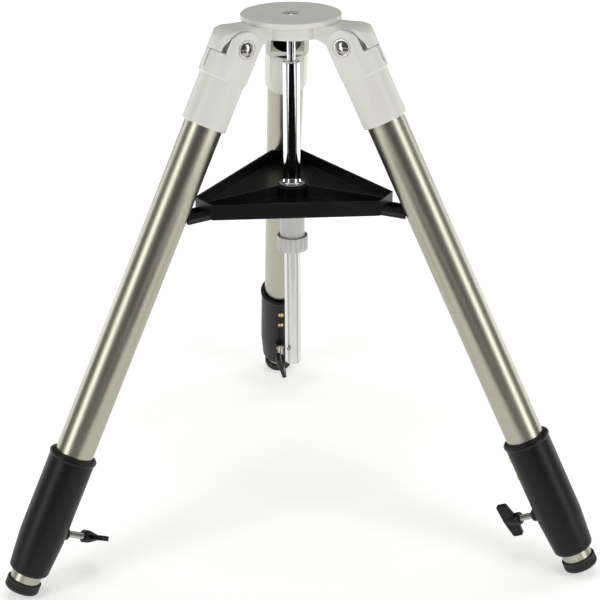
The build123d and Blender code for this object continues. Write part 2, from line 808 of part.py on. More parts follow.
with BuildPart() as accessory_tray:
    with BuildSketch(Plane.XY.offset(tray_bottom)):
        Polygon(*tray_outline(0), align=None)
    extrude(amount=tray_height)
    with BuildSketch(Plane.XY.offset(tray_bottom + tray_floor)):
        Polygon(*tray_outline(tray_wall), align=None)
    extrude(amount=tray_height, mode=Mode.SUBTRACT)
    for azimuth in leg_azimuths.values():
        a = radians(azimuth)
        turned = Plane(origin=(0, 0, tray_bottom), x_dir=(cos(a), sin(a), 0), z_dir=(0, 0, 1))
        with BuildSketch(turned.offset(tray_floor / 2)):
            with Locations((corner_r / 2, 0)):
                Rectangle(corner_r - tray_wall, rib_t)
        extrude(amount=tray_height - rib_drop - tray_floor / 2)
        # ear: a floor plate with two side lips, hollowed to fit the leg tube
        ear_end = tube_inner_r(tray_bottom) + ear_wrap
        ear_length = ear_end - corner_r + tray_wall
        with BuildSketch(turned):
            with Locations((ear_end - ear_length / 2, 0)):
                Rectangle(ear_length, 2 * ear_half)
        extrude(amount=tray_floor)
        with BuildSketch(turned):
            for side in (-1, 1):
                with Locations((ear_end - ear_length / 2, side * (ear_half - ear_lip_t / 2))):
                    Rectangle(ear_length, ear_lip_t)
        extrude(amount=ear_lip_height)
        leg = leg_frame(azimuth)
        with BuildSketch(leg.offset(casting_length)):
            Circle(upper_od / 2 + ear_gap)
        extrude(amount=tube_end - casting_length, mode=Mode.SUBTRACT)
    with BuildSketch(Plane.XY.offset(tray_bottom)):
        Circle(tray_hub_d / 2)
    extrude(amount=tray_height - tray_hub_drop)
    with BuildSketch(Plane.XY.offset(tray_bottom)):
        Circle(hub_body_d / 2 + running_gap)
    extrude(amount=2 * tray_height, mode=Mode.SUBTRACT)
    # the ribs stop short of the snap ring on the hub
    with BuildSketch(Plane.XY.offset(tray_rim - tray_hub_drop)):
        Circle(snap_ring_d / 2 + 1)
    extrude(amount=tray_height, mode=Mode.SUBTRACT)
keep(accessory_tray, "accessory_tray")

hub_top = sleeve_bottom - 0.3
snap_bottom = tray_rim - tray_hub_drop + seat_gap

with BuildPart() as tray_hub:
    with BuildSketch(Plane.XY.offset(hub_body_end)):
        Circle(hub_body_d / 2)
    extrude(amount=hub_top - hub_body_end)
    with BuildSketch(Plane.XY.offset(hub_collar_end)):
        Circle(hub_collar_d / 2)
        with PolarLocations(hub_collar_d / 2, serrations):
            Circle(0.9, mode=Mode.SUBTRACT)
    extrude(amount=tray_bottom - seat_gap - hub_collar_end)
    with BuildSketch(Plane.XY.offset(hub_body_end)):
        Circle(bar_d / 2 + running_gap)
    extrude(amount=-hub_body_end, mode=Mode.SUBTRACT)
    with BuildSketch(Plane.XY.offset(snap_bottom)):
        Circle(hub_body_d)
        Circle(hub_body_d / 2 - 1, mode=Mode.SUBTRACT)
    extrude(amount=snap_ring_t, mode=Mode.SUBTRACT)
keep(tray_hub, "tray_hub")

with BuildPart() as hub_snap_ring:
    with BuildSketch(Plane.XY.offset(snap_bottom + 0.02)):
        Circle(snap_ring_d / 2)
        Circle(hub_body_d / 2 - 1 + press_gap, mode=Mode.SUBTRACT)
        with Locations((snap_ring_d / 2, 0)):
            Rectangle(snap_ring_d / 2, 3, mode=Mode.SUBTRACT)
    extrude(amount=snap_ring_t - 0.04)
keep(hub_snap_ring, "hub_snap_ring")

with BuildPart() as lock_ring:
    with BuildSketch(Plane.XY.offset(ring_bottom)):
        Circle(ring_d / 2)
        with PolarLocations(ring_d / 2, ring_grips):
            Circle(0.7, mode=Mode.SUBTRACT)
    extrude(amount=ring_top - ring_bottom)
    chamfer(lock_ring.faces().sort_by(Axis.Z)[0].edges(), length=0.6)
    with BuildSketch(Plane.XY.offset(ring_bottom + ring_floor)):
        Circle(ring_d / 2 - ring_wall)
    extrude(amount=ring_top - ring_bottom, mode=Mode.SUBTRACT)
    with BuildSketch(Plane.XY.offset(ring_bottom)):
        Circle(bar_d / 2 + 2 * running_gap)
    extrude(amount=-ring_bottom, mode=Mode.SUBTRACT)
keep(lock_ring, "lock_ring")
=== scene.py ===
import json
import math
import bmesh
import bpy
from mathutils import Matrix, Vector

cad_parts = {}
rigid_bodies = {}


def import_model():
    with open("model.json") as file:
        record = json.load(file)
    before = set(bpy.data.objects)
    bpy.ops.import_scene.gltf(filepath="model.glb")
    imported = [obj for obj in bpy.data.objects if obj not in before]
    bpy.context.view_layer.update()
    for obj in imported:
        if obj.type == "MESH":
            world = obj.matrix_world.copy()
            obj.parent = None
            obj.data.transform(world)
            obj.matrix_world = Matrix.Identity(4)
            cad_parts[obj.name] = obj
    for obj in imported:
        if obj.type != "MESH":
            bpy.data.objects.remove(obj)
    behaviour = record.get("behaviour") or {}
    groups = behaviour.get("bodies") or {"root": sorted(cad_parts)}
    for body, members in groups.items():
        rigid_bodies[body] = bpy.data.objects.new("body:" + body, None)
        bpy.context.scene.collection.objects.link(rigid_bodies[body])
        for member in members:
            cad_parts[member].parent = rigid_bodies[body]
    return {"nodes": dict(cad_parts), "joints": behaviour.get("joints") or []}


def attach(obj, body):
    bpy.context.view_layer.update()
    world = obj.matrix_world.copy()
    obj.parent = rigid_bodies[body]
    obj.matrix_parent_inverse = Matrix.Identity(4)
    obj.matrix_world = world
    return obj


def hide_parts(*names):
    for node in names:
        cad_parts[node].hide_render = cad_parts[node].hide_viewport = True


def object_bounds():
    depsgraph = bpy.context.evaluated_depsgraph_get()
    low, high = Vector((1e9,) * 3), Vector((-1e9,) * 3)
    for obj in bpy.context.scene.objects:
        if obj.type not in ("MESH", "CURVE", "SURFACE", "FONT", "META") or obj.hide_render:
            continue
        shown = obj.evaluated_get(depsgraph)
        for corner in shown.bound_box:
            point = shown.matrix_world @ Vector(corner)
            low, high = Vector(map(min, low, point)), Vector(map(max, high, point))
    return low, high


for leftover in list(bpy.data.objects):
    bpy.data.objects.remove(leftover)
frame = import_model()
cad_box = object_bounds()
mm = 0.001


# ---------------------------------------------------------------- studio
# A pale sweep of paper under the tripod, a large soft light on each side of the camera, a lower pair of
# fill panels behind, and a gap of dark room between the two front lights.
def linear(hex_colour):
    """The linear RGBA of an sRGB colour written as six hex digits."""
    channels = [int(hex_colour[i:i + 2], 16) / 255 for i in (0, 2, 4)]
    return tuple(c / 12.92 if c <= 0.04045 else ((c + 0.055) / 1.055) ** 2.4 for c in channels) + (1.0,)


def add(tree, kind, settings=None, links=None):
    """Add one shader node. Settings are properties or input values; links feed inputs from other outputs."""
    node = tree.nodes.new("ShaderNode" + kind)
    for name, value in (settings or {}).items():
        if isinstance(name, int) or name in node.inputs:
            node.inputs[name].default_value = value
        else:
            setattr(node, name, value)
    for name, source in (links or {}).items():
        tree.links.new(source, node.inputs[name])
    return node


def material(name, settings):
    """A new material with one Principled BSDF; returns the material, its node tree and the shader."""
    made = bpy.data.materials.new(name)
    made.use_nodes = True
    tree = made.node_tree
    tree.nodes.clear()
    shader = add(tree, "BsdfPrincipled", settings)
    add(tree, "OutputMaterial", links={"Surface": shader.outputs["BSDF"]})
    return made, tree, shader


paper_size = 14.0
paper, paper_tree, paper_shader = material("studio_paper", {
    "Base Color": linear("F4F4F2"),
    "Roughness": 0.9,
    "Specular IOR Level": 0.1,
    "Emission Color": linear("FFFFFF"),
})
paper_place = add(paper_tree, "TexCoord")
paper_mottle = add(paper_tree, "TexNoise", {"Scale": 1 / 0.4, "Detail": 3.0},
                   {"Vector": paper_place.outputs["Object"]})
paper_tone = add(paper_tree, "Mix", {"data_type": "RGBA", 6: linear("F1F1EF"), 7: linear("F6F6F4")},
                 {0: paper_mottle.outputs["Fac"]})
paper_tree.links.new(paper_tone.outputs[2], paper_shader.inputs["Base Color"])
paper_reach = add(paper_tree, "VectorMath", {"operation": "LENGTH"}, {0: paper_place.outputs["Object"]})
paper_glow = add(paper_tree, "MapRange", {"From Min": 0.7, "From Max": 3.0, "To Min": 0.45, "To Max": 0.95},
                 {"Value": paper_reach.outputs["Value"]})
paper_tree.links.new(paper_glow.outputs["Result"], paper_shader.inputs["Emission Strength"])

floor_z = cad_box[0].z
floor_shape = bmesh.new()
bmesh.ops.create_grid(floor_shape, x_segments=1, y_segments=1, size=paper_size / 2)
bmesh.ops.translate(floor_shape, vec=(0, 0, floor_z), verts=floor_shape.verts)
floor_mesh = bpy.data.meshes.new("studio_floor")
floor_shape.to_mesh(floor_mesh)
floor_shape.free()
floor_mesh.materials.append(paper)
floor = bpy.data.objects.new("studio_floor", floor_mesh)
bpy.context.scene.collection.objects.link(floor)

# A black card lies in front, out of the picture, hidden from the camera, from diffuse light and from shadows.
# Only mirror-like surfaces see it: it paints a dark reflection into their centre, standing in for the dark
# room.
card_width = 2.5
card_depth = 2.0
card_middle = -1.85
card_lift = 0.01
card_shape = bmesh.new()
bmesh.ops.create_grid(card_shape, x_segments=1, y_segments=1, size=0.5)
bmesh.ops.scale(card_shape, vec=(card_width, card_depth, 1.0), verts=card_shape.verts)
bmesh.ops.translate(card_shape, vec=(0, card_middle, floor_z + card_lift), verts=card_shape.verts)
card_mesh = bpy.data.meshes.new("black_card")
card_shape.to_mesh(card_mesh)
card_shape.free()
card_finish, card_tree, card_shader = material("painted_reflection_card", {
    "Roughness": 1.0,
    "Specular IOR Level": 0.0,
})
card_place = add(card_tree, "TexCoord")
card_nap = add(card_tree, "TexNoise", {"Scale": 1 / 0.02, "Detail": 2.0},
               {"Vector": card_place.outputs["Object"]})
card_tone = add(card_tree, "Mix", {"data_type": "RGBA", 6: linear("0A0A0A"), 7: linear("101010")},
                {0: card_nap.outputs["Fac"]})
card_tree.links.new(card_tone.outputs[2], card_shader.inputs["Base Color"])
card_mesh.materials.append(card_finish)
card = bpy.data.objects.new("black_card", card_mesh)
# Painted reflection only: the card is seen in mirror-like surfaces and nowhere else.
card.visible_camera = False
card.visible_diffuse = False
card.visible_shadow = False
bpy.context.scene.collection.objects.link(card)

camera_turn = math.radians(-3.455)
camera_back = 1.6083
camera_height = 0.3616
camera_pitch = math.radians(24.284)
camera_roll = math.radians(-0.378)
camera_data = bpy.data.cameras.new("camera")
camera_data.lens = 86.09
camera_data.sensor_width = 36.0
camera_data.shift_x = 0.01195
camera_data.shift_y = 0.01197
camera = bpy.data.objects.new("camera", camera_data)
bpy.context.scene.collection.objects.link(camera)
camera.matrix_world = (
    Matrix.Rotation(camera_turn, 4, "Z")
    @ Matrix.Translation((0, -camera_back, camera_height))
    @ Matrix.Rotation(math.pi / 2 - camera_pitch, 4, "X")
    @ Matrix.Rotation(camera_roll, 4, "Z")
)
bpy.context.scene.camera = camera

# Each light: name, bearing round the tripod from the camera in degrees (right positive), distance and height
# in metres, width and height of the panel, and power in watts.
studio_lights = (
    ("key_left", -50, 2.1, 0.45, 0.8, 2.2, 18),
    ("key_right", 54, 2.1, 0.45, 0.8, 2.2, 18),
    ("back_left", -118, 2.4, 0.3, 1.3, 1.8, 12),
    ("back_right", 118, 2.4, 0.3, 1.3, 1.8, 12),
    ("overhead", 180, 0.5, 2.3, 2.4, 2.4, 27),
)
look_at = Vector((0, 0, -0.25))
for light_name, bearing, distance, height, width, tall, power in studio_lights:
    lamp = bpy.data.lights.new(light_name, "AREA")
    lamp.shape = "RECTANGLE"
    lamp.size = width
    lamp.size_y = tall
    lamp.energy = power
    angle = math.radians(bearing) + camera_turn - math.pi / 2
    stand = Vector((distance * math.cos(angle), distance * math.sin(angle), height))
    holder = bpy.data.objects.new(light_name, lamp)
    aim = (look_at - stand).to_track_quat("-Z", "Y").to_matrix().to_4x4()
    holder.matrix_world = Matrix.Translation(stand) @ aim
    holder.visible_camera = False
    bpy.context.scene.collection.objects.link(holder)

world = bpy.data.worlds.new("studio_room")
world.use_nodes = True
world.node_tree.nodes["Background"].inputs["Color"].default_value = linear("FFFFFF")
world.node_tree.nodes["Background"].inputs["Strength"].default_value = 0.07
bpy.context.scene.world = world
bpy.context.scene.view_settings.view_transform = "Standard"


# ---------------------------------------------------------------- head casting
# The die-cast aluminium head: a round plate, a hub under it and three arms that reach out over the legs.
# It is powder coated off-white, so its edges are soft and its surface has a faint orange peel.
def per_mm(size):
    """Scale of a pattern whose grain is this many millimetres across."""
    return 1 / (size * mm)


def vary(tree, shader, pattern, dark, light):
    """Let a pattern mix the shader's base colour between two sRGB tones."""
    tones = {"data_type": "RGBA", 6: linear(dark), 7: linear(light)}
    tone = add(tree, "Mix", tones, {0: pattern.outputs["Fac"]})
    tree.links.new(tone.outputs[2], shader.inputs["Base Color"])


# Powder coat hides the casting's grain: an even satin off-white with a slight peel and a little cloudiness.
powder_coat, tree, shader = material("off_white_powder_coat", {"IOR": 1.5})
where = add(tree, "TexCoord")
cloud = add(tree, "TexNoise", {"Scale": per_mm(35), "Detail": 4.0}, {"Vector": where.outputs["Object"]})
vary(tree, shader, cloud, "DADAD2", "E1E1DA")
peel = add(tree, "TexNoise", {"Scale": per_mm(1.8), "Detail": 2.0}, {"Vector": where.outputs["Object"]})
gloss = add(tree, "MapRange", {"To Min": 0.34, "To Max": 0.46}, {"Value": cloud.outputs["Fac"]})
bump = add(tree, "Bump", {"Strength": 0.3, "Distance": 0.06 * mm}, {"Height": peel.outputs["Fac"]})
tree.links.new(gloss.outputs["Result"], shader.inputs["Roughness"])
tree.links.new(bump.outputs["Normal"], shader.inputs["Normal"])


def piece(name, shape, finish, body, nodes=()):
    """Turn a finished bmesh, built in place, into an object that rides on a body and stands for CAD nodes."""
    mesh = bpy.data.meshes.new(name)
    shape.to_mesh(mesh)
    shape.free()
    if "custom_normal" in mesh.attributes:
        mesh.attributes.remove(mesh.attributes["custom_normal"])
    mesh.materials.append(finish)
    made = bpy.data.objects.new(name, mesh)
    bpy.context.scene.collection.objects.link(made)
    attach(made, body)
    if nodes:
        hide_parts(*nodes)
    return made


def round_edges(shape, radius, segments=3, sharp_angle=35, clamp=False, plain=None):
    """Round every edge sharper than the angle, then set smooth shading."""
    sharp = [e for e in shape.edges
             if len(e.link_faces) == 2 and e.calc_face_angle(0) > math.radians(sharp_angle)]
    if plain:
        sharp = [e for e in sharp if not plain((e.verts[0].co + e.verts[1].co) / 2)]
    bmesh.ops.bevel(shape, geom=sharp, offset=radius, offset_type="OFFSET", segments=segments,
                    profile=0.5, affect="EDGES", clamp_overlap=clamp, material=-1)
    bmesh.ops.remove_doubles(shape, verts=shape.verts, dist=0.004 * mm)
    for face in shape.faces:
        face.smooth = True


def softened(node, radius, segments=3, plain=None):
    """A merged copy of a CAD node, its sharp edges rounded unless their middle passes the plain test."""
    shape = bmesh.new()
    shape.from_mesh(frame["nodes"][node].data)
    bmesh.ops.remove_doubles(shape, verts=shape.verts, dist=0.001 * mm)
    bmesh.ops.dissolve_limit(shape, angle_limit=math.radians(0.5), verts=shape.verts, edges=shape.edges)
    round_edges(shape, radius, segments, plain=plain)
    return shape


def keep_flats(made):
    """Weight normals by face size, so that broad flat faces stay flat beside small rounded edges."""
    weigh = made.modifiers.new("flat_faces", "WEIGHTED_NORMAL")
    weigh.keep_sharp = True
    return made


head = piece("head_casting", softened("tripod_head", 0.7 * mm), powder_coat, "head",
             ["tripod_head"])
keep_flats(head)

# ---------------------------------------------------------------- hinge hardware
# Each leg turns on a plated M10 bolt with a domed hexagon-socket head, a washer at each end and a nut.
# The plating is bright zinc: faintly mottled, with dull patches where it dried.
zinc_plate, tree, shader = material("bright_zinc_plate", {"Metallic": 1.0, "Base Color": linear("B4B3AD")})
where = add(tree, "TexCoord")
spangle = add(tree, "TexNoise", {"Scale": per_mm(3.5), "Detail": 5.0}, {"Vector": where.outputs["Object"]})
dull = add(tree, "MapRange", {"To Min": 0.14, "To Max": 0.34}, {"Value": spangle.outputs["Fac"]})
tree.links.new(dull.outputs["Result"], shader.inputs["Roughness"])

joints = {joint["name"]: joint for joint in frame["joints"]}
legs = ("a", "b", "c")


def leg_place(leg):
    """The leg's own axes: X outwards across the leg, Y along the hinge pin, Z down the leg from the pin."""
    pin = Vector(joints[f"leg_{leg}_fold"]["pos_m"])
    down = Vector(joints[f"lower_leg_{leg}_slide"]["axis"]).normalized()
    outward = Vector((pin.x, pin.y, 0)).normalized()
    across = (outward - down * outward.dot(down)).normalized()
    axes = Matrix((across, down.cross(across), down)).transposed().to_4x4()
    return Matrix.Translation(pin) @ axes


places = {leg: leg_place(leg) for leg in legs}


def span(node, place=Matrix.Identity(4)):
    """Lowest and highest corners of a CAD node, measured along the axes of a place."""
    back = place.inverted()
    points = [back @ v.co for v in frame["nodes"][node].data.vertices]
    return tuple(Vector([pick(p[i] for p in points) for i in range(3)]) for pick in (min, max))


def turned(profile, rounding=0.0, steps=96, segments=3):
    """A closed solid of revolution about Z, from (radius, height) corners, with its sharp rims rounded."""
    shape = bmesh.new()
    corners = [shape.verts.new((radius, 0, height)) for radius, height in profile]
    lines = [shape.edges.new(pair) for pair in zip(corners, corners[1:] + corners[:1])]
    bmesh.ops.spin(shape, geom=corners + lines, cent=(0, 0, 0), axis=(0, 0, 1), angle=2 * math.pi,
                   steps=steps, use_merge=True, use_duplicate=False)
    bmesh.ops.remove_doubles(shape, verts=shape.verts, dist=0.001 * mm)
    loose = [e for e in shape.edges if not e.link_faces]
    bmesh.ops.delete(shape, geom=loose, context="EDGES")
    bmesh.ops.recalc_face_normals(shape, faces=shape.faces)
    if rounding:
        round_edges(shape, rounding, segments, sharp_angle=20)
    for face in shape.faces:
        face.smooth = True
    return shape


def put(shape, place):
    """Move a shape into its place."""
    bmesh.ops.transform(shape, matrix=place, verts=shape.verts)
    return shape


def join(shapes):
    """One bmesh from several."""
    whole = bmesh.new()
    for shape in shapes:
        part = bpy.data.meshes.new("part")
        shape.to_mesh(part)
        shape.free()
        whole.from_mesh(part)
        bpy.data.meshes.remove(part)
    return whole


def coat(finish, *nodes):
    """Give CAD nodes whose shape already is right their finish."""
    for node in nodes:
        frame["nodes"][node].material_slots[0].material = finish


coat(zinc_plate, "hinge_bolts")
nuts = piece("hinge_lock_nuts", softened("hinge_nuts", 0.5 * mm, 2), zinc_plate, "head",
             ["hinge_nuts"])
keep_flats(nuts)
washers = piece("hinge_flat_washers", softened("hinge_washers", 0.2 * mm, 2), zinc_plate,
                "head", ["hinge_washers"])
keep_flats(washers)

# ---------------------------------------------------------------- leg castings
# A powder-coated aluminium clevis straddles each arm, and its round collar is pressed on the tube.
# The flanged nylon bushes in its cheeks turn on the bolt, and a black grub screw holds the tube.
nylon, tree, shader = material("natural_nylon", {"IOR": 1.53, "Subsurface Weight": 0.1,
                                                 "Subsurface Radius": (1 * mm, 1 * mm, 1 * mm)})
where = add(tree, "TexCoord")
haze = add(tree, "TexNoise", {"Scale": per_mm(6), "Detail": 3.0}, {"Vector": where.outputs["Object"]})
vary(tree, shader, haze, "E4E2D8", "EDEBE2")
gloss = add(tree, "MapRange", {"To Min": 0.38, "To Max": 0.5}, {"Value": haze.outputs["Fac"]})
tree.links.new(gloss.outputs["Result"], shader.inputs["Roughness"])

# Black oxide is a thin blue-black skin on steel, oiled, a little browner where it is worn.
black_oxide, tree, shader = material("oiled_black_oxide_steel", {"Metallic": 0.6})
where = add(tree, "TexCoord")
wear = add(tree, "TexNoise", {"Scale": per_mm(2.5), "Detail": 4.0}, {"Vector": where.outputs["Object"]})
vary(tree, shader, wear, "1E1F21", "34322F")
gloss = add(tree, "MapRange", {"To Min": 0.3, "To Max": 0.5}, {"Value": wear.outputs["Fac"]})
tree.links.new(gloss.outputs["Result"], shader.inputs["Roughness"])

collar_start = 41 * mm
collar_step = 4 * mm


def near_collar(leg):
    """A test for points on the step to the collar. It fades out into the cheeks, too low there to round."""
    up_leg = places[leg].inverted()
    return lambda point: abs((up_leg @ point).z - collar_start) < collar_step


for leg in legs:
    block = softened(f"leg_casting_{leg}", 0.8 * mm, plain=near_collar(leg))
    casting = piece(f"leg_top_casting_{leg}", block, powder_coat, f"leg_{leg}",
                    [f"leg_casting_{leg}"])
    keep_flats(casting)
    coat(nylon, f"hinge_bushes_{leg}", f"guide_bush_{leg}", f"slide_bush_{leg}", f"clamp_pad_{leg}")
    coat(black_oxide, f"collar_screw_{leg}")

# ---------------------------------------------------------------- leg tubes
# Welded stainless tube, two sizes, one sliding in the other. It was centreless ground, so the finish runs
# round the tube: reflections stay crisp across it and smear along it, with faint rings from the belt.
ground_steel, tree, shader = material("centreless_ground_stainless", {
    "Metallic": 1.0, "Anisotropic": 0.55, "Anisotropic Rotation": 0.0})
sheet_uv = add(tree, "UVMap", {"uv_map": "girth"})
ring_scale = add(tree, "Mapping", {"Scale": (per_mm(60), per_mm(0.9), 1.0)},
                 {"Vector": sheet_uv.outputs["UV"]})
rings = add(tree, "TexNoise", {"Scale": 1.0, "Detail": 3.0, "Roughness": 0.6},
            {"Vector": ring_scale.outputs["Vector"]})
blotch_scale = add(tree, "Mapping", {"Scale": (per_mm(45), per_mm(90), 1.0)},
                   {"Vector": sheet_uv.outputs["UV"]})
blotch = add(tree, "TexNoise", {"Scale": 1.0, "Detail": 2.0}, {"Vector": blotch_scale.outputs["Vector"]})
vary(tree, shader, rings, "A7A597", "BAB8A9")
gloss = add(tree, "MapRange", {"To Min": 0.24, "To Max": 0.34}, {"Value": blotch.outputs["Fac"]})
bump = add(tree, "Bump", {"Strength": 0.12, "Distance": 0.02 * mm}, {"Height": rings.outputs["Fac"]})
along = add(tree, "Tangent", {"direction_type": "UV_MAP", "uv_map": "girth"})
tree.links.new(gloss.outputs["Result"], shader.inputs["Roughness"])
tree.links.new(bump.outputs["Normal"], shader.inputs["Normal"])
tree.links.new(along.outputs["Tangent"], shader.inputs["Tangent"])


def wrap_girth(shape):
    """UV map in metres: U round the girth, V along Z."""
    layer = shape.loops.layers.uv.new("girth")
    for face in shape.faces:
        middle = face.calc_center_median()
        centre_angle = math.atan2(middle.y, middle.x)
        for loop in face.loops:
            point = loop.vert.co
            turn = math.remainder(math.atan2(point.y, point.x) - centre_angle, 2 * math.pi)
            loop[layer].uv = ((centre_angle + turn) * math.hypot(middle.x, middle.y), point.z)
    return shape


tube_wall = 1.2 * mm
tube_rim = 0.25 * mm
for leg in legs:
    for part, body in (("upper", f"leg_{leg}"), ("lower", f"lower_leg_{leg}")):
        low, high = span(f"{part}_tube_{leg}", places[leg])
        skin = [(high.x - tube_wall, low.z), (high.x, low.z), (high.x, high.z), (high.x - tube_wall, high.z)]
        tube = put(wrap_girth(turned(skin, tube_rim, steps=128)), places[leg])
        keep_flats(piece(f"{part}_leg_tube_{leg}", tube, ground_steel, body,
                         [f"{part}_tube_{leg}"]))

# ---------------------------------------------------------------- clamp shoes
# Black glass-filled nylon mouldings on the lower ends of the upper tubes. They have a rolled top lip, a boss
# for the clamp screw and a tapered, rounded mouth. Two screws with yellow plating hold each to its tube.
black_nylon, tree, shader = material("black_glass_filled_nylon", {"IOR": 1.53, "Specular IOR Level": 0.22})
where = add(tree, "TexCoord")
grain = add(tree, "TexNoise", {"Scale": per_mm(0.8), "Detail": 3.0}, {"Vector": where.outputs["Object"]})
flow = add(tree, "TexNoise", {"Scale": per_mm(28), "Detail": 3.0}, {"Vector": where.outputs["Object"]})
vary(tree, shader, flow, "090A0A", "0F1010")
gloss = add(tree, "MapRange", {"To Min": 0.33, "To Max": 0.45}, {"Value": flow.outputs["Fac"]})
bump = add(tree, "Bump", {"Strength": 0.35, "Distance": 0.03 * mm}, {"Height": grain.outputs["Fac"]})
tree.links.new(gloss.outputs["Result"], shader.inputs["Roughness"])
tree.links.new(bump.outputs["Normal"], shader.inputs["Normal"])

# Yellow chromate over zinc: a pale gold with pink and green hints.
yellow_plate, tree, shader = material("yellow_chromate_plate", {"Metallic": 1.0})
where = add(tree, "TexCoord")
tint = add(tree, "TexNoise", {"Scale": per_mm(1.5), "Detail": 2.0}, {"Vector": where.outputs["Object"]})
vary(tree, shader, tint, "D9C182", "E6CFA0")
gloss = add(tree, "MapRange", {"To Min": 0.2, "To Max": 0.35}, {"Value": tint.outputs["Fac"]})
tree.links.new(gloss.outputs["Result"], shader.inputs["Roughness"])

brass, tree, shader = material("turned_brass", {"Metallic": 1.0})
where = add(tree, "TexCoord")
tarnish = add(tree, "TexNoise", {"Scale": per_mm(4), "Detail": 3.0}, {"Vector": where.outputs["Object"]})
vary(tree, shader, tarnish, "B8934A", "D2B26A")
gloss = add(tree, "MapRange", {"To Min": 0.2, "To Max": 0.36}, {"Value": tarnish.outputs["Fac"]})
tree.links.new(gloss.outputs["Result"], shader.inputs["Roughness"])

for leg in legs:
    shoe = piece(f"tube_clamp_shoe_{leg}", softened(f"clamp_shoe_{leg}", 0.6 * mm), black_nylon,
                 f"leg_{leg}", [f"clamp_shoe_{leg}"])
    keep_flats(shoe)
    coat(yellow_plate, f"shoe_screws_{leg}")
    coat(brass, f"knob_insert_{leg}")

# ---------------------------------------------------------------- clamp knobs
# A wing knob moulded on a zinc-plated stud: a round hub, and two flat wings that lean back towards its end.
# The stud screws through the shoe's brass insert and presses a nylon pad on the lower tube.
knob_turns = {"a": 66.0, "b": -14.0, "c": 12.0}
hub_r = 7.5 * mm
hub_length = 8.0 * mm
knob_length = 23.5 * mm
wing_half_span = 24.5 * mm
wing_tip = 12.8 * mm
wing_start = 9.0 * mm
wing_thickness = 6.0 * mm
wing_corner = 2.2 * mm
stud_r = 4.0 * mm
stud_pitch = 1.25 * mm
thread_depth = 0.65 * mm


def threaded(radius, start, end, pitch, depth, steps=32):
    """A threaded rod along Z; its turns are drawn as rings, too fine for their lead to show."""
    profile = [(0, start), (radius - depth, start)]
    for turn in range(int((end - start) / pitch)):
        root = start + turn * pitch
        profile += [(radius - depth, root + 0.15 * pitch), (radius, root + 0.45 * pitch),
                    (radius, root + 0.6 * pitch), (radius - depth, root + 0.9 * pitch)]
    return turned(profile + [(radius - depth, end), (0, end)], steps=steps)


for leg in legs:
    screw_joint = joints[f"knob_{leg}_turn"]
    outwards = places[leg].to_3x3().col[0]
    down = places[leg].to_3x3().col[2]
    inward = -outwards
    screw_at = down * (Vector(screw_joint["pos_m"]) - places[leg].translation).dot(down)
    turn = math.radians(knob_turns[leg])
    wing_way = down * math.cos(turn) + inward.cross(down) * math.sin(turn)
    axes = Matrix((wing_way, inward.cross(wing_way), inward)).transposed().to_4x4()
    knob_place = Matrix.Translation(places[leg].translation + screw_at) @ axes
    low, high = span(f"wing_knob_{leg}", knob_place)
    hub = turned([(0, low.z), (hub_r, low.z), (hub_r, low.z + hub_length),
                  (wing_thickness / 2, low.z + knob_length - 1 * mm), (0, low.z + knob_length - 1 * mm)],
                 0.9 * mm, steps=64)
    wing = bmesh.new()
    outline = [(0.85 * hub_r, low.z + hub_length - 2 * mm), (wing_half_span, low.z + wing_start),
               (wing_half_span, low.z + wing_start + wing_tip), (0, low.z + knob_length)]
    outline += [(-x, z) for x, z in reversed(outline[:-1])]
    wing.faces.new([wing.verts.new((x, -wing_thickness / 2, z)) for x, z in outline])
    bmesh.ops.bevel(wing, geom=list(wing.verts), offset=wing_corner, segments=5, profile=0.5,
                    affect="VERTICES", clamp_overlap=True, material=-1)
    grown = bmesh.ops.extrude_face_region(wing, geom=list(wing.faces), use_keep_orig=True)["geom"]
    far_side = [v for v in grown if isinstance(v, bmesh.types.BMVert)]
    bmesh.ops.translate(wing, vec=(0, wing_thickness, 0), verts=far_side)
    bmesh.ops.recalc_face_normals(wing, faces=wing.faces)
    round_edges(wing, 1.1 * mm, 3, sharp_angle=50)
    knob = piece(f"clamp_wing_knob_{leg}", put(join([hub, wing]), knob_place), black_nylon,
                 f"knob_{leg}", [f"wing_knob_{leg}"])
    keep_flats(knob)
    low, high = span(f"knob_screw_{leg}", knob_place)
    stud = threaded(stud_r, low.z, high.z, stud_pitch, thread_depth)
    piece(f"clamp_stud_{leg}", put(stud, knob_place), zinc_plate, f"knob_{leg}",
          [f"knob_screw_{leg}"])

# ---------------------------------------------------------------- feet
# Moulded rubber cups on the lower tubes, with a rounded sole and two grooves round the side.
# Rubber is dull with a fine bloom, and lighter where it has rubbed.
rubber, tree, shader = material("black_moulded_rubber", {"IOR": 1.52})
where = add(tree, "TexCoord")
bloom = add(tree, "TexNoise", {"Scale": per_mm(9), "Detail": 5.0}, {"Vector": where.outputs["Object"]})
pore = add(tree, "TexNoise", {"Scale": per_mm(0.7), "Detail": 2.0}, {"Vector": where.outputs["Object"]})
vary(tree, shader, bloom, "131414", "1E1F1E")
gloss = add(tree, "MapRange", {"To Min": 0.55, "To Max": 0.75}, {"Value": bloom.outputs["Fac"]})
bump = add(tree, "Bump", {"Strength": 0.4, "Distance": 0.05 * mm}, {"Height": pore.outputs["Fac"]})
tree.links.new(gloss.outputs["Result"], shader.inputs["Roughness"])
tree.links.new(bump.outputs["Normal"], shader.inputs["Normal"])

